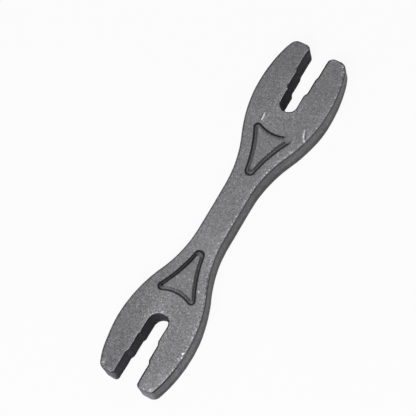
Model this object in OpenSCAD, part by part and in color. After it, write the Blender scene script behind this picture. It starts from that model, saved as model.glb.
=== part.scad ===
// Double-ended spoke wrench: one steel forging, flat on both sides, with a raised triangle
// on each face of each head. It lies on its lower triangles, on the plane z = 0.
// The origin is under the middle of the handle, and +X runs to the head with the small jaw.

/* [Forging] */
// Length over the tips of both heads
overall_len = 94.6; // [90:0.2:110]
// Thickness between the two flat faces
forging_t = 7; // [5:0.5:9]
// Width across a head at its widest line
head_w = 19.7; // [18.5:0.1:21]
// Width of the handle at its middle
handle_w = 7.1; // [5.5:0.1:9]

/* [Outline] */
// Distance from the tips of a head back to its widest line
head_reach = 13; // [11.5:0.1:14]
// Radius of the bulging flanks of a head
flank_r = 35.5; // [32:0.5:38]
// Radius of the hollow that runs from each flank into the handle
waist_r = 31; // [26:0.5:35]
// Radius of the outer corner of each prong
tip_r = 2.1; // [1.5:0.1:3]
// Radius of the inner corner of each prong, at the mouth of the jaw
mouth_r = 1; // [0.6:0.1:2.2]

/* [Small jaw] */
// Width of its outermost step
small_outer_w = 6; // [5.8:0.1:6.4]
// Width of its middle step
small_middle_w = 5.4; // [5.1:0.1:5.6]
// Width of its innermost step, whose end is round
small_inner_w = 4.4; // [4.2:0.1:4.8]
// Length of its outermost step, from the tips to the middle of the bevel
small_outer_len = 6.8; // [6:0.1:7.5]
// Length of its middle step, from bevel to bevel
small_middle_len = 4.9; // [4:0.1:5.5]
// Length of its innermost step, from the bevel to the bottom of the jaw
small_inner_len = 6.1; // [5:0.1:7]

/* [Large jaw] */
// Width of its outermost step
large_outer_w = 6.6; // [6.3:0.1:7]
// Width of its middle step
large_middle_w = 5.7; // [5.5:0.1:6]
// Width of its innermost step, whose end is round
large_inner_w = 5; // [4.8:0.1:5.3]
// Length of its outermost step, from the tips to the middle of the bevel
large_outer_len = 6.8; // [6:0.1:7.5]
// Length of its middle step, from bevel to bevel
large_middle_len = 4.9; // [4:0.1:5.5]
// Length of its innermost step, from the bevel to the bottom of the jaw
large_inner_len = 6.7; // [5:0.1:7.5]

/* [Bevels in the jaws] */
// Length of the bevel that leads from one step down to the next
bevel_len = 0.9; // [0.4:0.1:1.4]

/* [Raised triangles] */
// Height of a triangle above the face it stands on
pad_h = 0.6; // [0.3:0.1:1]
// How far its walls lean inwards over that height
pad_lean = 0.7; // [0.3:0.1:0.8]
// Width over its two corners
pad_w = 10; // [8:0.1:10.5]
// Distance from the middle of the handle to its point
pad_start = 11; // [9:0.5:12]
// Distance from the middle of the handle to the middle of its hollow base
pad_end = 22.9; // [21:0.1:24]
// Radius round its point
pad_point_r = 1.2; // [1:0.1:1.4]
// Radius round its two corners
pad_corner_r = 0.9; // [0.85:0.05:1.1]
// Radius of its hollow base
pad_base_r = 8.7; // [7:0.1:14]
// Radius of its two hollow long sides
pad_side_r = 35; // [25:1:60]

/* [Hidden] */

$fn = 180;
// How far a cut runs past what it cuts, and a triangle reaches into its face
overrun = 1;
half_len = overall_len / 2;
head_x = half_len - head_reach;
lower_face = pad_h;
upper_face = pad_h + forging_t;

// The point that lies from_a away from a and from_b away from b, to the left of the way a to b
function meeting_point(a, from_a, b, from_b) =
    let (
        along = (b - a) / norm(b - a),
        reach = (pow(norm(b - a), 2) + pow(from_a, 2) - pow(from_b, 2)) / (2 * norm(b - a)),
        rise = sqrt(pow(from_a, 2) - pow(reach, 2))
    )
    a + reach * along + rise * [-along.y, along.x];

// The point at distance d from a on the way to b
function towards(a, b, d) = a + d * (b - a) / norm(b - a);
function mirrored(p) = [p.x, -p.y];

// Centres of a flank and of the hollow that touches it from outside, and where they touch
flank = [head_x, head_w / 2 - flank_r];
waist_y = handle_w / 2 + waist_r;
waist = [head_x - sqrt(pow(flank_r + waist_r, 2) - pow(waist_y - flank.y, 2)), waist_y];
shoulder = towards(flank, waist, flank_r);

// Centre of a prong's outer corner, which touches the flank from inside
tip_x = half_len - tip_r;
tip_y = flank.y + sqrt(pow(flank_r - tip_r, 2) - pow(tip_x - flank.x, 2));
tip_turn = atan2(tip_y - flank.y, tip_x - flank.x);

// The steps of each jaw from its mouth inwards
small_steps_w = [small_outer_w, small_middle_w, small_inner_w];
small_steps_len = [small_outer_len, small_middle_len, small_inner_len];
large_steps_w = [large_outer_w, large_middle_w, large_inner_w];
large_steps_len = [large_outer_len, large_middle_len, large_inner_len];

// Centres of a triangle's round point, of one round corner, and of its hollow base and side
pad_point = [pad_start + pad_point_r, 0];
pad_base = [pad_end + pad_base_r, 0];
pad_corner_y = pad_w / 2 - pad_corner_r;
pad_corner = [
    pad_base.x - sqrt(pow(pad_base_r + pad_corner_r, 2) - pow(pad_corner_y, 2)),
    pad_corner_y
];
pad_side = meeting_point(pad_point, pad_side_r + pad_point_r, pad_corner, pad_side_r + pad_corner_r);

module both_sides() {
    children();
    mirror([0, 1]) children();
}

module both_heads() {
    children();
    mirror([1, 0]) children();
}

// A head before its jaw is cut: two flank circles that overlap
module head_blank() {
    intersection() {
        translate(flank) circle(flank_r);
        translate(mirrored(flank)) circle(flank_r);
    }
}

// What is cut away beside the handle: a round hollow at each end and all between them
module waist_cut() {
    translate([-waist.x, handle_w / 2]) square([2 * waist.x, 2 * waist_r]);
    both_heads() translate(waist) circle(waist_r);
}

// What is cut away round the outer corner of a prong
module tip_cut() {
    far = 2 * tip_r;
    translate([tip_x, tip_y]) difference() {
        polygon([[0, 0], [far, 0], [far, far], far * [cos(tip_turn), sin(tip_turn)]]);
        circle(tip_r);
    }
}

// What is cut away round the inner corner of a prong, beside a mouth of this width
module mouth_cut(mouth_w) {
    translate([half_len - mouth_r, mouth_w / 2 + mouth_r]) difference() {
        translate([0, -mouth_r - overrun]) square(mouth_r + overrun);
        circle(mouth_r);
    }
}

// The stepped slot of a jaw. Each step is bounded by straight sides, and a bevel at
// each joint leads the nut from one step down to the next.
module jaw_cut(steps_w, steps_len) {
    joint_1 = half_len - steps_len[0];
    joint_2 = joint_1 - steps_len[1];
    bottom_r = steps_w[2] / 2;
    bottom_x = joint_2 - steps_len[2] + bottom_r;
    side = [
        [bottom_x, bottom_r],
        [joint_2 - bevel_len / 2, bottom_r],
        [joint_2 + bevel_len / 2, steps_w[1] / 2],
        [joint_1 - bevel_len / 2, steps_w[1] / 2],
        [joint_1 + bevel_len / 2, steps_w[0] / 2],
        [half_len + overrun, steps_w[0] / 2]
    ];
    far = len(side) - 1;
    polygon(concat(side, [for (i = [far:-1:0]) mirrored(side[i])]));
    translate([bottom_x, 0]) circle(bottom_r);
    both_sides() mouth_cut(steps_w[0]);
}

// The head's end is square across the tips before its corners are rounded
module end_cut() {
    translate([half_len, -head_w]) square([flank_r, 2 * head_w]);
    both_sides() tip_cut();
}

module forging_outline() {
    difference() {
        union() {
            both_heads() head_blank();
            square(2 * shoulder, center = true);
        }
        both_sides() waist_cut();
        both_heads() end_cut();
        jaw_cut(small_steps_w, small_steps_len);
        mirror([1, 0]) jaw_cut(large_steps_w, large_steps_len);
    }
}

// A cone on the face z = 0 with radius r there. Its radius grows by grow times
// the lean of the triangle's walls over the height of a triangle.
module lean_cone(centre, r, grow, low, high) {
    translate([centre.x, centre.y, low])
        cylinder(
            h = high - low,
            r1 = r + grow * pad_lean * low / pad_h,
            r2 = r + grow * pad_lean * high / pad_h
        );
}

// A raised triangle on the face z = 0, pointing at the handle. Three round corners
// and the plate between them are cut back by the hollow base and both hollow sides.
module pad() {
    half_plate = [
        pad_point,
        towards(pad_point, pad_side, pad_point_r),
        towards(pad_corner, pad_side, pad_corner_r),
        pad_corner,
        towards(pad_corner, pad_base, pad_corner_r)
    ];
    difference() {
        union() {
            lean_cone(pad_point, pad_point_r, -1, -overrun, pad_h);
            lean_cone(pad_corner, pad_corner_r, -1, -overrun, pad_h);
            lean_cone(mirrored(pad_corner), pad_corner_r, -1, -overrun, pad_h);
            translate([0, 0, -overrun]) linear_extrude(pad_h + overrun)
                both_sides() polygon(concat(half_plate, [[half_plate[4].x, 0]]));
        }
        lean_cone(pad_base, pad_base_r, 1, -2 * overrun, pad_h + overrun);
        lean_cone(pad_side, pad_side_r, 1, -2 * overrun, pad_h + overrun);
        lean_cone(mirrored(pad_side), pad_side_r, 1, -2 * overrun, pad_h + overrun);
    }
}

module wrench_forging() {
    color("dimgray") {
        translate([0, 0, lower_face]) linear_extrude(forging_t) forging_outline();
        for (head = [0, 1]) mirror([head, 0, 0]) {
            translate([0, 0, upper_face]) pad();
            translate([0, 0, lower_face]) mirror([0, 0, 1]) pad();
        }
    }
}

wrench_forging();
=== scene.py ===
# %% [markdown]
# # A forged spoke wrench
#
# A spoke wrench turns the small nuts, called nipples, that tighten the spokes of a wheel. This one
# is a flat bar of steel, hammered to shape between two dies, with a stepped open jaw at each end
# and a raised triangle on each face of each head. It is one piece with nothing that moves, so the
# whole lesson is about one shape and one finish.
#
# The imported CAD model is the frame: it gives the place and the size. A CAD solid has knife-sharp
# edges, which a forging never has, so a finer mesh is built over it here, from the same arcs, with
# rounded edges, soft triangles and the small dents of use. First the frame is loaded, and its box
# is read.

# %% Load the frame
import math
from functools import partial, reduce

import bmesh
import bpy
import numpy as np
from mathutils import Matrix, Vector, kdtree, noise
from mathutils.geometry import delaunay_2d_cdt


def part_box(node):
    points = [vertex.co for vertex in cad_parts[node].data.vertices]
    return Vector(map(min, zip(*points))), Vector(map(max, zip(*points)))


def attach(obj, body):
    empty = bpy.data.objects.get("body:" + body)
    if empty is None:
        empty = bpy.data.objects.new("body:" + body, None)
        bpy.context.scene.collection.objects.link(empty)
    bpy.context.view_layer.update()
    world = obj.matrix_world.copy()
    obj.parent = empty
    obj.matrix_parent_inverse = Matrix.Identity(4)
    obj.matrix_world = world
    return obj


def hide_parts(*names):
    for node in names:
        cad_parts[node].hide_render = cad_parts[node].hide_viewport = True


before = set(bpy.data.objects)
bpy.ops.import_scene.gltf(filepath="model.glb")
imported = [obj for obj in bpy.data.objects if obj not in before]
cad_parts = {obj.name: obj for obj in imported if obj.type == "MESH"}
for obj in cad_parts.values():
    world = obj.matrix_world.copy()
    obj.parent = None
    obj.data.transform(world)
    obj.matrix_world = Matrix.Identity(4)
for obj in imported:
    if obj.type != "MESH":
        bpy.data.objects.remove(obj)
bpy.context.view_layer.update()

mm = 0.001
forging_node = "wrench_forging"
cad_low, cad_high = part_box(forging_node)
print("CAD box in mm:", [round(side / mm, 2) for side in cad_high - cad_low])

# %% [markdown]
# ## Sizes
#
# Everything below is worked out in millimetres and turned into metres only when the mesh is made.
# The length, the width of the heads and the height come from the frame. The other sizes describe
# the arcs of the outline, the steps of the jaws and the triangles. Naming each one once, here,
# means that a later change is made in one place.

# %% Driving sizes
overall_len = (cad_high.x - cad_low.x) / mm
head_w = (cad_high.y - cad_low.y) / mm
overall_h = (cad_high.z - cad_low.z) / mm
handle_w = 7.1

head_reach = 13
flank_r = 35.5
waist_r = 31
tip_r = 2.1

small_jaw = {"widths": (6.0, 5.4, 4.4), "lengths": (6.8, 4.9, 6.1), "mouth_r": 1.3}
large_jaw = {"widths": (6.6, 5.7, 5.0), "lengths": (6.8, 4.9, 6.7), "mouth_r": 1.0}
bevel_len = 0.9
step_corner_r = 0.5

pad_h = 0.6
pad_dome = 0.07
pad_lean = 0.7
pad_w = 10
pad_start = 11
pad_end = 22.9
pad_point_r = 1.2
pad_corner_r = 0.9
pad_base_r = 8.7
pad_side_r = 35

half_len = overall_len / 2
head_x = half_len - head_reach
lower_face = pad_h
upper_face = overall_h - pad_h
print("faces at", round(lower_face, 2), "and", round(upper_face, 2), "mm")

# %% [markdown]
# ## Arcs and straight runs
#
# A die is cut with round tools, so the outline of a forging is made of arcs that touch each other.
# A curve object could draw them, but the edges, the flat faces and the triangles all have to share
# the same points. Plain lists of points, made by two small helpers, give full control. One point
# about every quarter of a millimetre is fine enough for a smooth silhouette in a close view.

# %% Helpers for arcs and runs
outline_step = 0.25
same_place = 1e-6


def arc(centre, radius, start, end, step=outline_step):
    """Points along an arc, from one angle to another, in degrees."""
    turn = math.radians(end - start)
    count = max(2, math.ceil(abs(turn) * radius / step))
    angles = math.radians(start) + turn * np.linspace(0, 1, count + 1)
    return np.asarray(centre) + radius * np.column_stack([np.cos(angles), np.sin(angles)])


def run(start, end, step=outline_step):
    """Points along a straight run."""
    start = np.asarray(start, float)
    end = np.asarray(end, float)
    count = max(1, math.ceil(np.linalg.norm(end - start) / step))
    return start + np.linspace(0, 1, count + 1)[:, None] * (end - start)


def heading(start, end):
    """The direction from one point to another, in degrees."""
    return math.degrees(math.atan2(end[1] - start[1], end[0] - start[0]))


def join(paths):
    """One path out of several that follow each other, without doubled points."""
    points = np.concatenate(paths)
    gaps = np.linalg.norm(np.diff(points[:, :2], axis=0), axis=1)
    return points[np.append(True, gaps > same_place)]


def soften(corners, radii, step=outline_step):
    """Straight runs between corners, with each inner corner rounded to its radius."""
    corners = np.asarray(corners, float)
    pieces = []
    last = corners[0]
    for before, corner, after, radius in zip(corners, corners[1:], corners[2:], radii):
        way_in = (corner - before) / np.linalg.norm(corner - before)
        way_out = (after - corner) / np.linalg.norm(after - corner)
        cross = way_in[0] * way_out[1] - way_in[1] * way_out[0]
        turn = math.atan2(cross, way_in @ way_out)
        side = math.copysign(1, turn)
        centre = corner - way_in * radius * math.tan(abs(turn) / 2)
        centre = centre + side * radius * np.array([-way_in[1], way_in[0]])
        start = heading((0, 0), way_in) - side * 90
        bend = arc(centre, radius, start, start + math.degrees(turn), step)
        pieces += [run(last, bend[0], step), bend]
        last = bend[-1]
    return join(pieces + [run(last, corners[-1], step)])


# %% [markdown]
# ## One side of a head
#
# From the middle of the handle the outline runs straight, hollows out into the waist, bulges over
# the flank, and turns round the outer corner of the prong. Then it crosses the tip, rounds the
# mouth of the jaw and goes down the steps to the round bottom. Only this quarter is drawn, because
# mirrors give the rest. The third number kept with each point says how far it is inside the jaw,
# from 0 outside to 1 inside: the jaw was cut after forging, so its edges are sharper. Its walls
# also get painted shade, which stands in for the shade inside the narrow jaw.

# %% Follow the outline of one half head
flank = np.array([head_x, head_w / 2 - flank_r])
waist_y = handle_w / 2 + waist_r
waist_back = math.sqrt((flank_r + waist_r) ** 2 - (waist_y - flank[1]) ** 2)
waist = np.array([head_x - waist_back, waist_y])
tip_x = half_len - tip_r
tip_rise = math.sqrt((flank_r - tip_r) ** 2 - (tip_x - head_x) ** 2)
tip = np.array([tip_x, flank[1] + tip_rise])


def with_jaw_share(path, start, end):
    """The path with a third column that goes evenly from one share of jaw to another."""
    return np.column_stack([path, np.linspace(start, end, len(path))])


def outside_path():
    """From the middle of the handle to the tip of a prong."""
    handle = run((0, handle_w / 2), (waist[0], handle_w / 2))
    hollow = arc(waist, waist_r, -90, heading(waist, flank))
    bulge = arc(flank, flank_r, heading(flank, waist), heading(flank, tip))
    corner = arc(tip, tip_r, heading(flank, tip), 0)
    return with_jaw_share(join([handle, hollow, bulge, corner]), 0, 0)


def jaw_path(jaw):
    """From the mouth of a jaw down its steps to the bottom."""
    outer, middle, inner = [width / 2 for width in jaw["widths"]]
    joint_1 = half_len - jaw["lengths"][0]
    joint_2 = joint_1 - jaw["lengths"][1]
    bottom = (joint_2 - jaw["lengths"][2] + inner, 0)
    mouth_r = jaw["mouth_r"]
    mouth_centre = (half_len - mouth_r, outer + mouth_r)
    mouth = with_jaw_share(arc(mouth_centre, mouth_r, 0, -90), 0, 1)
    corners = [
        (half_len - mouth_r, outer),
        (joint_1 + bevel_len / 2, outer),
        (joint_1 - bevel_len / 2, middle),
        (joint_2 + bevel_len / 2, middle),
        (joint_2 - bevel_len / 2, inner),
        (bottom[0], inner),
    ]
    steps = soften(corners, [step_corner_r] * (len(corners) - 2))
    round_end = arc(bottom, inner, 90, 180)
    return join([mouth, with_jaw_share(join([steps, round_end]), 1, 1)])


def half_head(jaw):
    """One side of a head, from the handle round the prong to the bottom of its jaw."""
    return join([outside_path(), jaw_path(jaw)])


print("points along half a head:", len(half_head(small_jaw)))

# %% [markdown]
# ## The whole outline
#
# Both sides of a head are alike, and both heads share the outside, so three mirrors finish the
# loop. The loop runs against the clock seen from above: then "left" is always inwards.

# %% Mirror and close the outline
flip_y = np.array([1, -1, 1])
flip_x = np.array([-1, 1, 1])


def whole_head(jaw):
    """Both sides of a head, from the handle's upper edge to its lower edge."""
    side = half_head(jaw)
    return join([side, side[::-1] * flip_y])


small_head = whole_head(small_jaw)
large_head = whole_head(large_jaw)[::-1] * flip_x
outline = join([small_head, large_head])[:-1][::-1]
outline_xy = outline[:, :2]
in_jaw = outline[:, 2]
loop_len = len(outline)


def inward_of(loop):
    """The unit direction to the left of the way at each point of a closed loop."""
    along = np.roll(loop, -1, axis=0) - np.roll(loop, 1, axis=0)
    left = np.column_stack([-along[:, 1], along[:, 0]])
    return left / np.linalg.norm(left, axis=1)[:, None]


def area_of(loop):
    """The area inside a closed loop, positive when it runs against the clock."""
    after = np.roll(loop, -1, axis=0)
    return (loop[:, 0] * after[:, 1] - after[:, 0] * loop[:, 1]).sum() / 2


inward = inward_of(outline_xy)
print("outline:", loop_len, "points, area", round(area_of(outline_xy), 1), "square mm")

# %% [markdown]
# ## A raised triangle
#
# Each triangle has three round corners joined by hollow arcs, and its walls lean inwards so that
# the forging comes out of the die. Leaning the walls means that going up, the corners' radii
# shrink and the hollow arcs' radii grow by the same amount. So one function of that amount draws
# the whole family of rings from the foot to the top, and all rings have the same number of points.

# %% Draw the rings of a triangle
pad_ring_step = 0.2
fewest_points = 6
pad_point = np.array([pad_start + pad_point_r, 0])
pad_base = np.array([pad_end + pad_base_r, 0])
pad_corner_y = pad_w / 2 - pad_corner_r
corner_back = math.sqrt((pad_base_r + pad_corner_r) ** 2 - pad_corner_y**2)
pad_corner = np.array([pad_base[0] - corner_back, pad_corner_y])


def meeting_point(a, from_a, b, from_b):
    """The point at these distances from a and b, to the left of the way from a to b."""
    apart = np.linalg.norm(b - a)
    along = (b - a) / apart
    reach = (apart**2 + from_a**2 - from_b**2) / (2 * apart)
    rise = math.sqrt(from_a**2 - reach**2)
    return a + reach * along + rise * np.array([-along[1], along[0]])


pad_side = meeting_point(
    pad_point, pad_side_r + pad_point_r, pad_corner, pad_side_r + pad_corner_r
)


def pad_arc(centre, radius, start, end, lean):
    """One arc of a triangle, with as many points at its top as at its foot."""
    turn = math.radians(abs(end - start))
    count = max(fewest_points, math.ceil(radius * turn / pad_ring_step))
    angles = np.radians(np.linspace(start, end, count))
    return centre + (radius + lean) * np.column_stack([np.cos(angles), np.sin(angles)])


def pad_ring(lean):
    """The outline of a triangle where its walls have leaned in this far."""
    to_point = heading(pad_side, pad_point)
    to_corner = heading(pad_side, pad_corner)
    corner_start = heading(pad_corner, pad_side)
    corner_end = heading(pad_corner, pad_base)
    half = [
        pad_arc(pad_point, pad_point_r, 180, heading(pad_point, pad_side), -lean),
        pad_arc(pad_side, pad_side_r, to_point, to_corner, lean),
        pad_arc(pad_corner, pad_corner_r, corner_start, corner_end, -lean),
        pad_arc(pad_base, pad_base_r, heading(pad_base, pad_corner), 180, lean),
    ]
    half = np.concatenate([half[0]] + [part[1:] for part in half[1:]])
    other = half[1:-1][::-1] * flip_y[:2]
    return np.concatenate([half, other])[::-1]


print("points round a triangle:", len(pad_ring(0)), "area", round(area_of(pad_ring(0)), 1))

# %% [markdown]
# ## The wall of a triangle
#
# Seen from the side, the wall rises from a tight fillet at the foot, leans in, and rolls over a
# softer edge onto the top, which is domed a very little. The same `soften` helper that rounds the
# steps of the jaws draws this profile: here the first number is how far the wall has leaned in,
# and the second is height.

# %% Draw the profile of a triangle's wall
foot_reach = 0.35
foot_round_r = 0.25
top_reach = 0.14
top_round_r = 0.35
profile_step = 0.09

rim_h = pad_h - pad_dome
pad_profile = soften(
    [(-foot_reach, 0), (0, 0), (pad_lean, rim_h), (pad_lean + top_reach, rim_h)],
    [foot_round_r, top_round_r],
    profile_step,
)
print("rings from foot to top:", len(pad_profile))

# %% [markdown]
# ## How the two triangles differ
#
# The triangles were sunk into the die one at a time, so no two of them are quite alike. Each sits
# a little off the middle line, and its top is a little smaller than the leaning walls alone would
# make it, most of all at the point. Each side of a wall gets its own share of painted shade, which
# stands in for the shade that falls on it. Far and near are said from the camera's side.

# %% Place the rings of each triangle
full_lean = pad_lean + top_reach
pad_middle = np.array([19.1, 0])
# The last entry of each triangle gives the painted shade on each side of its wall.
pads = [
    {
        "head": 1,
        "shift": (0, -0.24),
        "shrink": (0.137, 0.2),
        "top_shift": (0, -0.1),
        "wall_shading": {"far": 0.52, "near": 0.8, "base": 0.0, "point": 0.85},
    },
    {
        "head": -1,
        "shift": (0, -0.18),
        "shrink": (0.137, 0.13),
        "top_shift": (0, -0.2),
        "wall_shading": {"far": 1.0, "near": 0.8, "base": 0.65, "point": 0.3},
    },
]


def pad_loop(pad, lean):
    """One ring of a triangle, in its place on its own head."""
    risen = np.clip(lean / full_lean, 0, 1)
    ring = pad_ring(lean) - pad_middle
    ring = pad_middle + ring * (1 - risen * np.array(pad["shrink"]))
    if pad["head"] < 0:
        ring = (ring * flip_x[:2])[::-1]
    return ring + np.array(pad["shift"]) + risen * np.array(pad["top_shift"])


def shade_along(pad, ring):
    """How much painted shade the wall gets at each point of a ring, by the way it faces there."""
    across = -inward_of(ring)[:, 1]
    ahead = -inward_of(ring)[:, 0] * pad["head"]
    facing = {"far": across, "near": -across, "base": ahead, "point": -ahead}
    shares = [pad["wall_shading"][side] * np.maximum(way, 0) ** 2 for side, way in facing.items()]
    return np.sum(shares, axis=0)


print("top of a triangle:", round(area_of(pad_loop(pads[0], full_lean)), 1), "square mm")

# %% [markdown]
# ## Marks of use
#
# Two small nicks cross the face of one head, and a few dents are spread over the heads and the
# handle. They are real shapes in the mesh, so that light catches them from every side. What made a
# nick pushed the steel aside: a groove runs along one side of it and a raised lip along the other.
# On top of the shapes, the lip gets a painted highlight and the groove a painted shadow. A nick is
# kept as the path of its lip, and a dent as one point with a reach and a depth. Scuffs are spots
# where the steel is only rubbed bright, so they are listed here and left to the finish.

# %% Name the nicks, dents and scuffs
nick_width = 0.2
groove_gap = 0.38
groove_depth = 0.09
lip_height = 0.06
nick_fine_reach = 0.9

left, right = 1, -1
nicks = [
    {"lip": [(26.9, 4.25), (26.2, 4.0), (25.5, 3.98), (24.8, 3.92)], "groove": right},
    {"lip": [(27.5, -6.8), (26.6, -7.1), (25.7, -7.4), (24.9, -8.0), (24.6, -8.7)], "groove": left},
]

# Each row gives a place in x and y, a reach, and how deep the dent is
dents = [
    (-46.1, 6.5, 0.7, 0.16),
    (45.2, 3.1, 0.6, 0.12),
    (7.3, -3.3, 0.5, 0.14),
    (30.4, 7.3, 0.4, 0.1),
    (24.6, -3.7, 0.35, 0.1),
]

# Each row gives a place in x and y, a reach, and how bright the spot is
scuffs = [
    (-35.0, -9.2, 0.4, 0.9),
    (-36.5, -8.8, 0.45, 0.6),
    (-46.0, 6.7, 0.6, 1.0),
    (-46.1, -6.9, 0.45, 0.5),
    (-42.1, -6.8, 0.4, 0.6),
    (-28.5, 0.5, 0.35, 0.8),
    (-20.1, -4.8, 0.5, 0.6),
    (20.8, -6.5, 0.5, 0.6),
    (46.1, -6.9, 0.5, 0.7),
    (45.0, -8.0, 0.5, 0.6),
]


def beside_path(points, path):
    """How far left of a path each point is, and its share of the way along the path."""
    path = np.asarray(path, float)
    lengths = np.linalg.norm(np.diff(path, axis=0), axis=1)
    passed = np.append(0, np.cumsum(lengths)) / lengths.sum()
    gap = np.full(len(points), np.inf)
    share = np.zeros(len(points))
    for number, length in enumerate(lengths):
        along = (path[number + 1] - path[number]) / length
        offset = points - path[number]
        way = np.clip(offset @ along, 0, length)
        off = offset - way[:, None] * along
        side = np.where(off[:, 1] * along[0] - off[:, 0] * along[1] < 0, -1, 1)
        away = np.linalg.norm(off, axis=1)
        closer = away < np.abs(gap)
        gap[closer] = (side * away)[closer]
        here = passed[number] + way / length * (passed[number + 1] - passed[number])
        share[closer] = here[closer]
    return gap, share


def ridge(distance, width):
    """A soft ridge: 1 on its middle line and nearly nothing at twice its width."""
    return np.exp(-((distance / width) ** 2))


def nick_shares(points):
    """How much each point belongs to the lip and to the groove of a nick."""
    lip = np.zeros(len(points))
    groove = np.zeros(len(points))
    for nick in nicks:
        gap, share = beside_path(points, nick["lip"])
        fade = np.sqrt(np.clip(4 * share * (1 - share), 0, 1))
        lip = np.maximum(lip, fade * ridge(gap, nick_width))
        groove_line = gap - nick["groove"] * groove_gap
        groove = np.maximum(groove, fade * ridge(groove_line, nick_width))
    return lip, groove


def near_nicks(points):
    """Whether each point is close enough to a nick to need the fine net."""
    gaps = [np.abs(beside_path(points, nick["lip"])[0]) for nick in nicks]
    return np.min(gaps, axis=0) < nick_fine_reach


def dug(points):
    """How deep the nicks and dents go at each point of the upper face."""
    lip, groove = nick_shares(points)
    depth = groove_depth * groove - lip_height * lip
    for x, y, reach, dent_depth in dents:
        away = np.linalg.norm(points - np.array((x, y)), axis=1)
        depth = depth + dent_depth * ridge(away, reach)
    return depth


print("nicks:", len(nicks), "dents:", len(dents), "scuffs:", len(scuffs))

# %% [markdown]
# ## A net for the flat faces
#
# A flat face could be one big polygon, but it would then shade badly round the triangles and could
# not hold a dent. A net of small triangles does both. Blender has a triangulation that keeps given
# edges, `delaunay_2d_cdt`. It gets the loops at the edge and at the feet of the triangles, and a
# regular lattice of points between them, which is finer near the nicks.

# %% Helpers for the net
net_step = 0.45
top_net_step = 0.3
fine_net_step = 0.12
clear_share = 0.6
far_away = 3.0
inside_only = 1
merge_reach = 1e-7


def lattice(low, high, step):
    """A triangular lattice of points over a rectangle."""
    row_step = step * math.sqrt(3) / 2
    rows = np.arange(low[1], high[1], row_step)
    points = []
    for number, y in enumerate(rows):
        xs = np.arange(low[0] + (number % 2) * step / 2, high[0], step)
        points.append(np.column_stack([xs, np.full(len(xs), y)]))
    return np.concatenate(points)


def depth_inside(points, loop):
    """How far each point is inside a closed loop, and which point of the loop is nearest."""
    nearby = kdtree.KDTree(len(loop))
    for number, (x, y) in enumerate(loop):
        nearby.insert((x, y, 0), number)
    nearby.balance()
    left = inward_of(loop)
    found = [nearby.find((x, y, 0)) for x, y in points]
    nearest = np.array([number for _, number, _ in found])
    offset = points - loop[nearest]
    side = np.sign((offset * left[nearest]).sum(axis=1))
    return side * np.linalg.norm(offset, axis=1), nearest


def fill(loops, inner, holes=()):
    """Triangles over the loops and the inner points, with nothing over the holes."""
    points = np.concatenate([*loops, inner])
    edges = []
    first = 0
    for loop in loops:
        numbers = np.arange(len(loop))
        edges += list(zip(first + numbers, first + np.roll(numbers, -1)))
        first += len(loop)
    flat = [Vector(point) for point in points]
    pairs = [tuple(map(int, edge)) for edge in edges]
    made = delaunay_2d_cdt(flat, pairs, [], inside_only, merge_reach)
    _, _, net_faces, origins, _, _ = made
    source = np.array([origin[0] for origin in origins])
    triangles = source[np.array([list(face) for face in net_faces])]
    middles = points[triangles].mean(axis=1)
    wanted = np.full(len(triangles), True)
    for hole in holes:
        wanted &= depth_inside(middles, hole)[0] < 0
    return triangles[wanted]


fine_points = lattice((0, 0), (1, 1), fine_net_step)
print("points of the finest net on a square millimetre:", len(fine_points))

# %% [markdown]
# ## The edge of the forging
#
# Blasting and handling round every edge of a forging by about half a millimetre, while the edges
# cut into the jaws stay sharper. Rings of the outline, set inwards by a quarter circle, make the
# roll from the face into the wall. Near its edge the face also falls a little, as blasted faces
# do, so the light changes gently there before it turns over the edge.

# %% Draw the rings from the upper face to the lower one
outer_edge_r = 0.42
jaw_edge_r = 0.24
edge_rounds = 5
wall_step = 0.5
crown_reach = 2.2
crown_drop = 0.09
jaw_crown_share = 0.35

edge_r = outer_edge_r + (jaw_edge_r - outer_edge_r) * in_jaw


def crown(distance, jaw_share):
    """How far the face has fallen at this distance from its edge."""
    near = np.clip(1 - distance / crown_reach, 0, 1)
    return crown_drop * near**2 * (1 - (1 - jaw_crown_share) * jaw_share)


def rounded_edge():
    """Rings over the rounded edge, as how far in and how far down each of them is."""
    rings = []
    for turn in np.linspace(0, math.pi / 2, edge_rounds + 1):
        inset = edge_r * (1 - math.sin(turn))
        drop = edge_r * (1 - math.cos(turn)) + crown(inset, in_jaw)
        rings.append((inset, drop))
    return rings


upper_rings = rounded_edge()
thickness = upper_face - lower_face
wall_top = upper_face - upper_rings[-1][1]
wall_bottom = lower_face + upper_rings[-1][1]
wall_count = round(thickness / wall_step)
wall_levels = np.linspace(wall_top, wall_bottom, wall_count + 1)[1:-1]

rings = [(inset, upper_face - drop) for inset, drop in upper_rings]
rings += [(0 * edge_r, level) for level in wall_levels]
rings += [(inset, lower_face + drop) for inset, drop in upper_rings[::-1]]
print("rings round the forging:", len(rings))

# %% [markdown]
# ## Gathering the mesh
#
# All points go into one list, each with a few facts that the finish needs later: how far it is
# from an outer edge, how far up the wall of a triangle or outside its foot, how much it belongs to
# the forging's own wall and to a jaw, how much painted shade its wall gets, and how much the
# nearest edge faces away from the camera. Kept as attributes of the mesh, they let the material put
# painted shade and painted highlights where they belong. Vertex groups could hold them too, but
# only as weights from 0 to 1.

# %% Gather the rings and the wall
places = []
fact_names = ("edge_distance", "foot_rise", "wall", "jaw", "wall_shade", "away")
facts = {name: [] for name in fact_names}
faces = []
turned_away = np.clip(-inward.min(axis=1), 0, 1)


def add_points(points, edge=far_away, foot=-far_away, wall=0, jaw=0, wall_shading=0, away=0):
    """Adds points to the mesh with their facts, and returns their numbers."""
    first = sum(len(group) for group in places)
    places.append(points)
    for name, value in zip(facts, (edge, foot, wall, jaw, wall_shading, away)):
        facts[name].append(np.broadcast_to(np.asarray(value, float), len(points)))
    return np.arange(first, first + len(points))


def add_strip(upper, lower, turned=False):
    """Four-sided faces between two closed rings of points, the upper one first."""
    upper_next = np.roll(upper, -1)
    lower_next = np.roll(lower, -1)
    quads = np.column_stack([upper, lower, lower_next, upper_next])
    faces.extend((quads[:, ::-1] if turned else quads).tolist())


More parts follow.
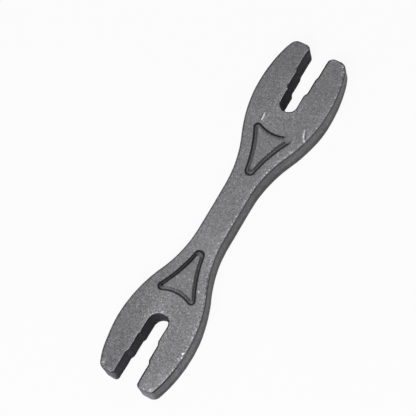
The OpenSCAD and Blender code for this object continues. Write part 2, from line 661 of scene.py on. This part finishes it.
ring_ids = []
for inset, height in rings:
    ring_xy = outline_xy + inward * np.asarray(inset)[:, None]
    to_edge = np.minimum(np.abs(upper_face - height), np.abs(height - lower_face))
    to_edge = np.maximum(to_edge - edge_r, 0)
    on_wall = 1 - np.asarray(inset) / edge_r
    ring_points = np.column_stack([ring_xy, height])
    ids = add_points(ring_points, edge=to_edge, wall=on_wall, jaw=in_jaw, away=turned_away)
    ring_ids.append(ids)
for upper, lower in zip(ring_ids, ring_ids[1:]):
    add_strip(upper, lower)
print("points so far:", sum(len(group) for group in places))

# %% [markdown]
# ## The faces and their triangles
#
# Both faces are made by one function. It nets the flat part between the edge and the feet of the
# two triangles, stacks the rings of each triangle's wall, and nets its flat top. For the lower
# face the heights point down and every face is turned over.

# %% Net both faces
dome_reach = 0.6
net_low = outline_xy.min(axis=0)
net_high = outline_xy.max(axis=0)
coarse_lattice = lattice(net_low, net_high, net_step)
top_lattice = lattice(net_low, net_high, top_net_step)
fine_lattice = lattice(net_low, net_high, fine_net_step)
clear_of_nicks = coarse_lattice[~near_nicks(coarse_lattice)]
beside_nicks = fine_lattice[near_nicks(fine_lattice)]
plain_net = [(coarse_lattice, net_step)]
top_net = [(top_lattice, top_net_step)]
nicked_net = [(clear_of_nicks, net_step), (beside_nicks, fine_net_step)]


def net_points(loop, holes, groups):
    """Lattice points inside the loop and outside the holes, clear of all of them."""
    kept = []
    for points, step in groups:
        inside, _ = depth_inside(points, loop)
        points = points[inside > step * clear_share]
        for hole in holes:
            inside, _ = depth_inside(points, hole)
            points = points[inside < -step * clear_share]
        kept.append(points)
    return np.concatenate(kept)


def add_net(loops, inner, holes, ids, turned):
    """Adds the triangles of a net as faces of the mesh."""
    net = ids[fill(loops, inner, holes)]
    faces.extend((net[:, ::-1] if turned else net).tolist())


def add_pad(pad, level, way):
    """Stacks the rings of a triangle's wall, nets its top, and returns the numbers at its foot."""
    ids = []
    for lean, height in pad_profile:
        loop = pad_loop(pad, lean)
        points = np.column_stack([loop, np.full(len(loop), level + way * height)])
        ids.append(add_points(points, foot=lean, wall_shading=shade_along(pad, loop)))
    for low, high in zip(ids, ids[1:]):
        add_strip(high, low, way < 0)
    top = pad_loop(pad, pad_profile[-1, 0])
    inner_top = net_points(top, [], top_net)
    from_rim, _ = depth_inside(inner_top, top)
    dome = pad_dome * (1 - np.exp(-from_rim / dome_reach))
    top_points = np.column_stack([inner_top, level + way * (rim_h + dome)])
    top_ids = add_points(top_points, foot=far_away)
    add_net([top], inner_top, [], np.concatenate([ids[-1], top_ids]), way < 0)
    return ids[0]


def add_face(level, way, edge_ids):
    """Nets one face of the forging. Way is 1 for the upper face and -1 for the lower one."""
    turned = way < 0
    edge_loop = outline_xy + inward * edge_r[:, None]
    feet = [pad_loop(pad, pad_profile[0, 0]) for pad in pads]
    inner = net_points(edge_loop, feet, plain_net if turned else nicked_net)
    to_edge, nearest = depth_inside(inner, outline_xy)
    to_feet = np.max([depth_inside(inner, foot)[0] for foot in feet], axis=0)
    fall = crown(to_edge, in_jaw[nearest])
    inner_ids = add_points(
        np.column_stack([inner, level - way * fall]),
        edge=np.maximum(to_edge - edge_r[nearest], 0),
        foot=np.clip(to_feet - foot_reach, -far_away, 0),
        jaw=in_jaw[nearest],
        away=turned_away[nearest],
    )
    foot_ids = [add_pad(pad, level, way) for pad in pads]
    all_ids = np.concatenate([edge_ids, *foot_ids, inner_ids])
    add_net([edge_loop, *feet], inner, feet, all_ids, turned)


add_face(upper_face, 1, ring_ids[0])
add_face(lower_face, -1, ring_ids[-1])
points = np.concatenate(places)
facts = {name: np.concatenate(values) for name, values in facts.items()}
print("points:", len(points), "faces:", len(faces))

# %% [markdown]
# ## The unevenness of a forging
#
# Nothing on a forging is quite flat or straight: the dies wear, and the steel cools unevenly. A
# soft three-dimensional noise moves every point by a few hundredths of a millimetre, in two sizes
# of wave, with a third, finer one that only nibbles at the edges. Because the noise belongs to the
# place and not to the face, no seam can open. Blender draws a new noise in each run unless it gets
# a seed, a number to start from, so a fixed one is set.
#
# Soft pulls then bring out what sets this forging apart: prong ends that came out a little short
# or lost some of a corner, jaws that slid to one side, and waists and flanks that are a little
# fuller or slimmer. A pull fades with distance, and has its own strength at the upper and at the
# lower face. Last, the nicks and dents are pressed in, and one battered corner of a triangle is
# knocked down.

# %% Bend the points and press in the dents
wave_sizes = {"long": (9.0, 0.05), "short": (2.2, 0.018)}
wave_seed = 5
nibble_size = 0.8
nibble_height = 0.02
nibble_reach = 1.0
dent_zone = 1.2
battered_at = (23.3, -4.4)
battered_reach = 1.2
battered_share = 0.95

# Each row gives a place in x and y, a reach, how far it pulls in x and y, and its strength at
# the upper and at the lower face
pulls = {
    "prongs of the small head": [
        (47.3, -4.4, 2.2, -0.22, 0.0, 1, 1),
        (47.2, -3.0, 1.0, -0.2, -0.16, 1, 1),
        (46.0, -8.0, 2.0, -0.16, 0.16, 0, 1),
        (46.9, 3.1, 1.1, 0.12, -0.34, 1, 0.2),
        (46.9, -6.9, 1.6, -0.14, 0.1, 1, 0.5),
        (46.6, 8.2, 1.4, -0.07, -0.08, 1, 1),
    ],
    "prongs of the large head": [
        (-46.2, 7.6, 2.6, 0.2, -0.16, 1, 1),
        (-47.3, 4.6, 1.8, 0.2, 0.0, 1, 0),
        (-47.3, -5.3, 2.4, 0.22, 0.0, 1, 0),
    ],
    "jaws": [
        (33.5, 2.4, 2.2, 0.0, 0.13, 1, 0),
        (-33.5, 2.6, 2.5, 0.0, 0.2, 1, 0),
        (-42.5, 3.2, 2.5, 0.0, -0.1, 0, 1),
        (-31.0, -0.5, 1.5, -0.08, 0.0, 0, 1),
    ],
    "waists, handle and flanks": [
        (-39.5, 10.2, 4.0, 0.0, -0.13, 1, 0),
        (18.5, -7.6, 7.0, 0.0, -0.15, 0, 1),
        (-37.0, -10.4, 6.0, 0.0, -0.08, 0, 1),
        (-17.0, 7.0, 9.0, -0.03, 0.1, 1, 0),
        (-19.0, -7.4, 9.0, 0.0, -0.08, 1, 1),
        (27.0, -10.3, 5.0, 0.0, -0.1, 0.3, 1),
        (6.0, 3.7, 8.0, 0.0, 0.07, 1, 0),
        (31.0, -9.8, 4.0, 0.0, -0.11, 0, 1),
        (13.0, -4.8, 5.0, 0.0, -0.07, 0, 1),
        (-30.0, -9.6, 4.0, 0.0, -0.07, 0, 1),
        (42.0, -9.0, 3.0, 0.0, 0.09, 0, 1),
    ],
}
# A row of equal pulls moves the near wall of each jaw
jaw_places = (-44, -39, -34, 34, 39, 44)
jaw_slide = (-2.8, 3.0, 0.0, 0.11, 1, 1)
pulls["jaws"] += [(along, *jaw_slide) for along in jaw_places]
all_pulls = sum(pulls.values(), [])
noise.seed_set(wave_seed)


def waves(points, size):
    """Soft noise in three directions, with waves of about this size."""
    return np.array([noise.noise_vector(Vector(point) / size) for point in points])


def uneven(points):
    """The points with the slight waves and nibbled edges that forging leaves."""
    moved = points.copy()
    for size, height in wave_sizes.values():
        moved += height * waves(points, size)
    inland = np.clip(facts["edge_distance"] / nibble_reach, 0, 1)
    nibbled = np.where(facts["wall"] > 0, 1, 1 - inland)
    return moved + nibble_height * nibbled[:, None] * waves(points, nibble_size)


def pulled(points):
    """The points with the soft pulls that make this forging a little uneven."""
    moved = points.copy()
    lowness = np.clip((upper_face - points[:, 2]) / thickness, 0, 1)
    for x, y, reach, by_x, by_y, upper, lower in all_pulls:
        away = np.linalg.norm(points[:, :2] - np.array((x, y)), axis=1)
        strength = upper + (lower - upper) * lowness
        moved[:, :2] += (strength * ridge(away, reach))[:, None] * np.array((by_x, by_y))
    return moved


near_top = np.clip(1 - (upper_face - points[:, 2]) / dent_zone, 0, 1)
above_face = np.maximum(points[:, 2] - upper_face, 0)
on_the_face = near_top * (above_face == 0)
lip, groove = nick_shares(points[:, :2])
# The lips of the nicks get a painted highlight and their grooves a painted shadow.
facts["lip_highlight"] = lip * on_the_face
facts["shade"] = groove * on_the_face
press = dug(points[:, :2]) * on_the_face
from_batter = np.linalg.norm(points[:, :2] - np.array(battered_at), axis=1)
facts["battered"] = ridge(from_batter, battered_reach) * (points[:, 2] > lower_face + pad_h)
press += above_face * battered_share * facts["battered"]
points = pulled(uneven(points))
points[:, 2] -= press
print("lowest and highest point in mm:", points[:, 2].min().round(3), points[:, 2].max().round(3))

# %% [markdown]
# ## The wrench as an object
#
# The mesh replaces the CAD solid in the picture, while the solid stays, hidden. It rides on the
# frame's only body. The check below makes sure that the mesh is closed, because an open edge
# would show as a black slit.

# %% Make the object
wrench_mesh = bpy.data.meshes.new("forging")
wrench_mesh.from_pydata((points * mm).tolist(), [], faces)
wrench_mesh.update()
wrench_mesh.shade_smooth()
for name, values in facts.items():
    kept = wrench_mesh.attributes.new(name, "FLOAT", "POINT")
    kept.data.foreach_set("value", values.astype(np.float32))

wrench = bpy.data.objects.new("spoke_wrench", wrench_mesh)
bpy.context.collection.objects.link(wrench)
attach(wrench, "root")
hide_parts(forging_node)

check = bmesh.new()
check.from_mesh(wrench_mesh)
open_edges = sum(1 for edge in check.edges if not edge.is_manifold)
volume = check.calc_volume() / mm**3
check.free()
print("open edges:", open_edges, "volume:", round(volume, 1), "cubic mm")

# %% [markdown]
# ## Small tools for the finish
#
# A finish in Blender is a chain of nodes. Written out in full, each node takes four or five lines,
# so a few helpers keep the recipe readable. One adds any node to `tree`, the node tree of the
# material that is being made, and the others do sums or mix two values.
#
# Most of the recipe says where something happens, such as near an edge or towards the large head.
# A ramp says that. It names the value to look at, where the ramp starts and ends, and what it
# gives at each of the two, which is 0 and 1 if nothing is said. A zone is some ramps multiplied.
# Places are in millimetres, and all other numbers are shares.

# %% Helpers for materials
full_level = 255
curve_offset = 0.055
curve_power = 2.4


def grey(level):
    """The linear value of a grey that a picture shows as 0 to 255."""
    return ((level / full_level + curve_offset) / (1 + curve_offset)) ** curve_power


def new_material(name):
    """An empty node material and its tree."""
    material = bpy.data.materials.new(name)
    material.use_nodes = True
    material.node_tree.nodes.clear()
    return material, material.node_tree


def node(kind, inputs, **options):
    """Adds a node to the tree, sets its options, and sets or links each input."""
    made = tree.nodes.new("ShaderNode" + kind)
    for name, value in options.items():
        setattr(made, name, value)
    for name, value in inputs.items():
        if isinstance(value, bpy.types.NodeSocket):
            tree.links.new(value, made.inputs[name])
        else:
            made.inputs[name].default_value = value
    return made


def blend(share, first, second):
    """A value between two others."""
    return node("Mix", {"Factor": share, "A": first, "B": second}).outputs["Result"]


def blend_colour(share, first, second):
    """A colour between two others. These inputs share their names, so they go by number."""
    return node("Mix", {0: share, 6: first, 7: second}, data_type="RGBA").outputs[2]


print("a middle grey in linear light:", round(grey(full_level / 2), 3))

# %% Helpers for sums and zones
def calc(operation, *values):
    """The values put together, two at a time, by one kind of Math node."""

    def pair(first, second):
        return node("Math", {0: first, 1: second}, operation=operation).outputs[0]

    return reduce(pair, values)


times = partial(calc, "MULTIPLY")
plus = partial(calc, "ADD")
minus = partial(calc, "SUBTRACT")
most = partial(calc, "MAXIMUM")


def unsigned(value):
    """The value without its sign."""
    return calc("ABSOLUTE", value, 0.0)


def ramp(value, start, end, at_start=0.0, at_end=1.0):
    """A soft ramp: one share at its start, another at its end, and no change beyond them."""
    inputs = {
        "Value": value,
        "From Min": start,
        "From Max": end,
        "To Min": at_start,
        "To Max": at_end,
    }
    return node("MapRange", inputs, interpolation_type="SMOOTHSTEP").outputs["Result"]


def zone(*ramps):
    """How much each point belongs to a zone, as the product of its ramps."""
    return times(*[ramp(*limits) for limits in ramps])


def fact(name):
    """One of the facts kept with the points of the mesh."""
    made = node("Attribute", {}, attribute_type="GEOMETRY", attribute_name=name)
    return made.outputs["Fac"]


print("kinds of sum:", [kind.args[0] for kind in (times, plus, minus, most)])

# %% [markdown]
# ## Blasted steel
#
# After forging, the wrench is blasted with steel shot, which leaves a dull grey skin of tiny
# overlapping craters. Three things make it read as that and not as grey paint: the craters catch
# the light one by one, so the grain comes from bump as well as from colour; single grains are
# lightened as bright specks, which are painted glints; and painted shade darkens the foot of the
# triangles and the inside of the narrow jaws. An image wrapped round the mesh could show the grain
# too, but it would stretch on the walls. Noise made at each point doesn't.

# %% Read the facts and the place
blasted_steel, tree = new_material("blasted_steel")
place = node("TexCoord", {}).outputs["Object"]
where = node("SeparateXYZ", {0: place})
x_mm, y_mm, z_mm = [times(where.outputs[axis], 1 / mm) for axis in "XYZ"]
from_middle = unsigned(x_mm)
facing = node("SeparateXYZ", {0: node("NewGeometry", {}).outputs["Normal"]})
facing_x = facing.outputs["X"]
facing_y = facing.outputs["Y"]

edge = fact("edge_distance")
foot = fact("foot_rise")
wall = fact("wall")
jaw = ramp(fact("jaw"), 0.45, 1.0)
jaw_wall = times(jaw, ramp(wall, 0.3, 0.9))
hidden_side = ramp(fact("away"), 0.1, 0.5)
print("facts kept with each point:", len(facts))

# %% Make the grains
# The size of the grains in millimetres, and how much finer detail is mixed in
grain_kinds = {
    "patches": (7.0, 2.0),
    "clouds": (1.3, 2.0),
    "mottle": (0.7, 1.0),
    "grains": (0.26, 1.0),
    "sparks": (0.36, 0.0),
    "ripples": (0.6, 0.5),
    "pits": (0.55, 1.0),
    "fine": (0.11, 1.0),
}
no_change = 0.5


def grain_of(size, detail):
    """Soft noise whose grains have about this size."""
    inputs = {"Vector": place, "Scale": 1 / (size * mm), "Detail": detail}
    return node("TexNoise", inputs).outputs["Fac"]


def centred(value, strength):
    """Noise as a change up and down around nothing."""
    return times(minus(value, no_change), strength)


noises = [grain_of(*kind) for kind in grain_kinds.values()]
patches, clouds, mottle, grains, sparks, ripples, pits, fine = noises
print("kinds of grain:", len(noises))

# %% [markdown]
# ## Painted shade and highlights on the edges
#
# The walls of the jaws get painted shade, which stands in for the shade inside the narrow jaws. So
# do the edges turned away from the viewer, and a thin line under the near edge of the large head
# gets a painted shadow. The edges on the near side and the tips of the prongs get a painted
# highlight where light catches them. These marks could be painted on the mesh by hand, but a zone
# can be moved by changing one number.

# %% Find where shade is painted on the jaws and edges
# Painted shade on the far edges and on the walls of the jaws, and a thin painted shadow under the
# near edge of the large head.
line_reach = ramp(from_middle, 30, 42, 0.12, 0.26)
far_edge = times(hidden_side, ramp(edge, 0.0, line_reach, 1.0, 0.0))
far_line = times(far_edge, ramp(jaw, 0.0, 1.0, 0.15, 0.7))
far_edge_shade = times(far_edge, ramp(jaw, 0.0, 1.0, 0.6, 1.0))
faces_near = most(ramp(facing_y, -0.35, -0.7), ramp(facing_x, -0.35, -0.7, 0.0, 0.5))
under_edge = zone((wall, 0.45, 0.85), (z_mm, 6.8, 7.2), (x_mm, -35, -42, 0.1, 1.0))
jaw_and_edge_shade = most(jaw_wall, far_edge_shade, times(faces_near, under_edge))
print("nodes so far:", len(tree.nodes))

# %% Find where the edges get a painted highlight
# Painted highlight on the edges, strongest on the near side and at the tips of the prongs.
tip_highlight = 0.45
highlight_side = zone((y_mm, 1.0, -2.5, 0.25, 1.0), (x_mm, 2, 28, 1.0, 0.6))
highlight_side = blend(ramp(x_mm, -44.5, -46), highlight_side, tip_highlight)
highlight_side = most(highlight_side, ramp(x_mm, 44, 46, 0.0, 0.6))
wide_highlight = zone((edge, 0.4, 2.4, 0.35, 0.0), (x_mm, 10, 26, 1.0, 0.15))
edge_highlight_reach = most(ramp(edge, 0.1, 0.7, 1.1, 0.0), wide_highlight)
on_face = zone((wall, 0.3, 0.8, 1.0, 0.0), (x_mm, 34, 44, 1.0, 1.7))
edge_highlight = times(edge_highlight_reach, highlight_side, on_face, minus(1.0, jaw))
print("nodes so far:", len(tree.nodes))

# %% [markdown]
# ## Specks, scuffs and pits
#
# A speck is a grain that stands above a floor, lightened as a painted glint. Where the floor is
# lower, more grains sparkle: in some patches, round the bottoms of the jaws, and on the edges with
# the painted highlight. Scuffs are the rubbed spots listed with the marks of use, broken up by the
# grain, because a smooth bright disc would look like a sticker. Pits are the lowest grains, left
# dark.

# %% Place the specks, scuffs and pits
# The specks are painted glints of single grains.
scuff_core = 0.2
round_jaw = times(jaw, zone((edge, 2.6, 0.6), (from_middle, 37, 31)))
sparkling = most(ramp(patches, 0.52, 0.66, 0.0, 0.6), round_jaw, edge_highlight)
spark_floor = ramp(sparkling, 0.0, 1.0, 0.67, 0.57)
spark_share = ramp(minus(sparks, spark_floor), 0.0, 0.07)
ripple_share = times(edge_highlight, ramp(ripples, 0.46, 0.72))
pit_share = ramp(pits, 0.3, 0.22)

scuff_share = 0.0
for x, y, reach, brightness in scuffs:
    centre = (x * mm, y * mm, upper_face * mm)
    distance = node("VectorMath", {0: place, 1: centre}, operation="DISTANCE").outputs["Value"]
    spot = ramp(distance, reach * mm, scuff_core * reach * mm, 0.0, brightness)
    scuff_share = most(scuff_share, spot)
scuff_share = times(scuff_share, ramp(grains, 0.36, 0.56))
print("nodes so far:", len(tree.nodes))

# %% [markdown]
# ## Its tone
#
# The tone is one number that makes the steel lighter or darker than its plain colour, which is 1.
# Everything found so far adds to it or takes from it. So do some broad changes. Most are painted
# light and shade: the far side, the far edges and the end walls get painted shade, while one tip
# near the lamp and the mouths of the jaws, where light gets in, get painted light, and along the
# handle the painted light fades from the large head towards the small one. The prongs and the tops
# of the triangles are darker too. Summing named changes shows at a glance what each of them does.

# %% Mix its tone
pad_fade = 0.4
pad_top = ramp(foot, full_lean, full_lean + pad_fade)
grain_strength = zone((pad_top, 0.0, 1.0, 1.0, 0.55), (x_mm, 24, 44, 1.0, 0.8))
# Painted light: the jaw mouths, the handle towards the large head and the near tip. Painted shade:
# the far side, the end walls and the line along the far edges.
lighter = {
    "patches": centred(patches, 0.2),
    "clouds": centred(clouds, 0.35),
    "grain": times(plus(centred(mottle, 0.7), centred(grains, 1.4)), grain_strength),
    "specks": times(spark_share, 0.65),
    "ripples": times(ripple_share, 0.5),
    "jaw mouths": times(jaw_wall, ramp(from_middle, 35, 46)),
    "handle": zone((x_mm, -10, 2, 0.07, -0.045), (from_middle, 16, 11)),
    "near tip": zone((x_mm, -37, -43, 0.0, 0.12), (y_mm, -3.5, -6), (wall, 0.0, 0.5, 1.0, 0.0)),
}
darker = {
    "pits": times(pit_share, 0.3),
    "prongs": ramp(from_middle, 24, 44, 0.0, 0.11),
    "far side": zone((y_mm, 2, 5), (from_middle, 10, 16), (x_mm, -24, -10, 0.15, 0.06)),
    "triangle tops": times(pad_top, ramp(x_mm, -10, 10, 0.1, 0.05)),
    "end walls": zone((facing_x, -0.4, -0.9), (wall, 0.5, 1.0), (y_mm, -4, 4, 0.05, 0.3)),
    "far line": far_line,
}
tone = minus(plus(1.0, *lighter.values()), plus(*darker.values()))
print("changes of tone:", [*lighter, *darker])

# %% [markdown]
# ## The flanks and their painted shade
#
# The dies squeeze some steel out between them, in a thin seam all round, which is sheared off.
# The flanks get painted shade, darker than the faces, with the lightest band a little above half
# height and darker bands over and under it, and the shade changes along the length of the wrench.
# The borders of the bands wander with the clouds of the grain, because a straight border would
# look like a painted stripe.

# %% Darken the flanks
# Painted shade on the flanks, in bands by height and changing along the length.
flank_tone = 0.6
band_tone = 0.5
wander = 1.6
flank_share = zone((unsigned(facing_y), 0.45, 0.85), (wall, 0.5, 1.0))
band_z = plus(z_mm, centred(clouds, wander))
band = most(ramp(band_z, 6.1, 7.1), ramp(band_z, 4.0, 2.4))
waist_shade = most(ramp(x_mm, 1, 11, 1.0, 0.8), ramp(x_mm, 15, 21, 0.8, 0.95))
head_shade = ramp(from_middle, 26, 35, 1.0, 1.1)
large_shade = zone((x_mm, -31, -35, 1.0, 1.16), (x_mm, -39, -42.5, 1.0, 0.76))
band_shade = ramp(band, 0.0, 1.0, 1.0, band_tone)
flank_shade = times(flank_tone, band_shade, waist_shade, head_shade, large_shade)
tone = times(tone, blend(flank_share, 1.0, flank_shade))
print("nodes so far:", len(tree.nodes))

# %% [markdown]
# ## Painted shade, highlights and colour
#
# Nearly black painted shade lies in the corner at the foot of each triangle and fades up its walls,
# and a painted shadow lies in the grooves of the nicks. Painted highlights, pale as bare steel, lie
# on the lips of the nicks and along the rims on the near side and of the jaws; the scuffs are steel
# rubbed bare. The colour is mixed in layers: steel, then the painted shade of the jaws and edges,
# then the deep painted shade, with highlights and bare steel on top. So a highlighted or rubbed
# place is bright whatever lay there before.

# %% Find the painted shade, the highlights and the bare steel
line_half = 0.37
line_core = 0.08
line_shade = 0.95
roll_over = 0.15
groove_shade = 0.6
# Painted shade at the foot and up the walls of the triangles, and a painted shadow in the grooves
# of the nicks.
foot_line = ramp(unsigned(foot), line_core, line_half, line_shade, 0.0)
wall_line = zone((foot, 0.0, line_half), (foot, pad_lean - roll_over, full_lean, 1.0, 0.0))
pad_and_groove_shade = most(foot_line, times(wall_line, fact("wall_shade")))
pad_and_groove_shade = times(pad_and_groove_shade, ramp(fact("battered"), 0.3, 0.9, 1.0, 0.0))
pad_and_groove_shade = most(pad_and_groove_shade, times(fact("shade"), groove_shade))

# Painted highlights on the near rims, the jaw rims and the lips of the nicks; the scuffs are steel
# rubbed bare.
rim = zone((wall, 0.0, 0.2), (wall, 0.35, 0.6, 1.0, 0.0))
rim_highlight = times(highlight_side, zone((ripples, 0.44, 0.66, 0.0, 0.2), (x_mm, 36, 44, 1.0, 1.6)))
seen_jaw = times(jaw, zone((hidden_side, 0.0, 1.0, 0.32, 0.0), (x_mm, -20, 20, 0.65, 1.0)))
highlight_and_bare_share = most(times(rim, most(rim_highlight, seen_jaw)), fact("lip_highlight"), scuff_share)
print("nodes so far:", len(tree.nodes))

# %% Mix its colour
steel_level = 130
shade_level = 62
deep_shade_level = 11
highlight_and_bare_level = 225
steel_cast = 2
shade_cast = 6


def tint(level, cast=steel_cast):
    """A grey with a faint cool cast: one level less green, and some levels more blue."""
    return (grey(level), grey(level - 1), grey(level + cast), 1.0)


# The layers are steel, the painted shade of the jaws and edges, the deep painted shade, and on top
# the painted highlights and bare steel.
colour = blend_colour(jaw_and_edge_shade, tint(steel_level), tint(shade_level, shade_cast))
colour = blend_colour(pad_and_groove_shade, colour, tint(deep_shade_level))
colour = blend_colour(highlight_and_bare_share, colour, tint(highlight_and_bare_level))
toned = node("VectorMath", {0: colour, 1: tone}, operation="MULTIPLY")
print("plain steel:", [round(value, 3) for value in tint(steel_level)])

# %% [markdown]
# ## Its grain and gloss
#
# The craters are far too small to model, so they come from bump, which turns the surface a little
# at each point without moving it. The steel is made part metal and part dull paint, because its
# blasted skin scatters light more than bare metal does. Where the painted shade of the jaws and
# edges lies, the steel is no metal at all and rougher, so it shines less.

# %% Shape its grain and gloss
metal_share = 0.45
gloss_share = 0.3
grain_height = 0.02
fine_height = 0.006
cloud_height = 0.01
ripple_height = 0.05
highlight_and_bare_polish = 0.15
shade_roughness = 0.3

raised = plus(
    times(grains, grain_height),
    times(fine, fine_height),
    times(clouds, cloud_height),
    times(ripple_share, ripple_height),
)
bump = node("Bump", {"Strength": 1.0, "Distance": mm, "Height": raised})
roughness = minus(ramp(grains, 0.3, 0.7, 0.68, 0.54), times(highlight_and_bare_share, highlight_and_bare_polish))
inputs = {
    "Base Color": toned.outputs[0],
    "Metallic": ramp(jaw_and_edge_shade, 0.0, 1.0, metal_share, 0.0),
    "Roughness": plus(roughness, times(jaw_and_edge_shade, shade_roughness)),
    "Specular IOR Level": gloss_share,
    "Normal": bump.outputs["Normal"],
}
steel = node("BsdfPrincipled", inputs)
node("OutputMaterial", {"Surface": steel.outputs[0]})
wrench_mesh.materials.append(blasted_steel)
print("nodes in the finish:", len(tree.nodes))

# %% [markdown]
# ## The floor
#
# The wrench lies on a plain pale floor. A floor of one white colour, lit plainly, comes out as
# very light grey, so most of its white is given straight to the camera and to the reflections.
# The rest stays ordinary paint, which keeps the soft shadow under the wrench.

# %% Lay the floor
floor_half = 3.0
floor_level = 0.6
given_white = 0.92
white = (1.0, 1.0, 1.0, 1.0)

floor_mesh = bpy.data.meshes.new("floor")
floor_z = float(points[:, 2].min()) * mm
ways = ((-1, -1), (1, -1), (1, 1), (-1, 1))
floor_corners = [(x * floor_half, y * floor_half, floor_z) for x, y in ways]
floor_mesh.from_pydata(floor_corners, [], [(0, 1, 2, 3)])
floor = bpy.data.objects.new("floor", floor_mesh)
bpy.context.collection.objects.link(floor)

floor_paint, tree = new_material("floor_paint")
paint = node("BsdfDiffuse", {"Color": (floor_level, floor_level, floor_level, 1.0)})
shine = node("Emission", {"Color": white, "Strength": 1.0})
rays = node("LightPath", {}).outputs
seen = most(rays["Is Camera Ray"], rays["Is Glossy Ray"], rays["Is Transmission Ray"])
both = node("MixShader", {0: times(seen, given_white), 1: paint.outputs[0], 2: shine.outputs[0]})
node("OutputMaterial", {"Surface": both.outputs[0]})
floor_mesh.materials.append(floor_paint)
print("floor at", round(floor_z / mm, 3), "mm")

# %% [markdown]
# ## The light
#
# A product is usually photographed under one large soft lamp, with pale surroundings that fill
# the shadows. The lamp hangs high over the end with the large jaw, a little to the viewer's side,
# so the walls that face that end catch the most light. Lamp and surroundings are set so that a
# grey surface comes out about as light as its own colour.

# %% Hang the lamp
lamp_side = math.radians(-160)
lamp_rise = math.radians(60)
lamp_distance = 0.75
lamp_size = 0.5
lamp_power = 5.8
surroundings = 0.25


def direction(side, rise):
    """The unit direction to a place at this bearing and this height over the floor."""
    flat = math.cos(rise)
    return Vector((flat * math.cos(side), flat * math.sin(side), math.sin(rise)))


lamp_data = bpy.data.lights.new("soft_lamp", "AREA")
lamp_data.shape = "DISK"
lamp_data.size = lamp_size
lamp_data.energy = lamp_power
lamp = bpy.data.objects.new("soft_lamp", lamp_data)
lamp_way = direction(lamp_side, lamp_rise)
lamp.location = lamp_distance * lamp_way
lamp.rotation_euler = lamp_way.to_track_quat("Z", "Y").to_euler()
bpy.context.collection.objects.link(lamp)

world = bpy.data.worlds.new("surroundings")
bpy.context.scene.world = world
world.use_nodes = True
tree = world.node_tree
tree.nodes.clear()
sky = node("Background", {"Color": white, "Strength": surroundings})
node("OutputWorld", {"Surface": sky.outputs[0]})
print("lamp at", [round(value, 2) for value in lamp.location])

# %% [markdown]
# ## The camera
#
# The view looks down on the wrench from a steep angle, tilted a little towards one side, through
# a long lens, which keeps both heads nearly the same size. The camera is placed by the direction
# it looks from, its distance, and its roll, because those can be read and changed one at a time.

# %% Place the camera
aim = Vector((-0.84, 4.075, upper_face)) * mm
view_side = math.radians(-123.805)
view_rise = math.radians(68.485)
view_roll = math.radians(-27.078)
view_distance = 0.4732
lens = 169.485
sensor = 36
nearest_seen = 0.01
farthest_seen = 20

back = direction(view_side, view_rise)
level_right = (-back).cross(Vector((0, 0, 1))).normalized()
level_up = level_right.cross(-back)
view_right = math.cos(view_roll) * level_right + math.sin(view_roll) * level_up
view_up = math.cos(view_roll) * level_up - math.sin(view_roll) * level_right

camera_data = bpy.data.cameras.new("camera")
camera_data.lens = lens
camera_data.sensor_width = sensor
camera_data.clip_start = nearest_seen
camera_data.clip_end = farthest_seen
camera = bpy.data.objects.new("camera", camera_data)
camera_turn = Matrix((view_right, view_up, back)).transposed()
camera.matrix_world = Matrix.Translation(aim + view_distance * back) @ camera_turn.to_4x4()
bpy.context.collection.objects.link(camera)
bpy.context.scene.camera = camera
bpy.context.scene.view_settings.view_transform = "Standard"
print("camera at", [round(value / mm, 1) for value in camera.location])
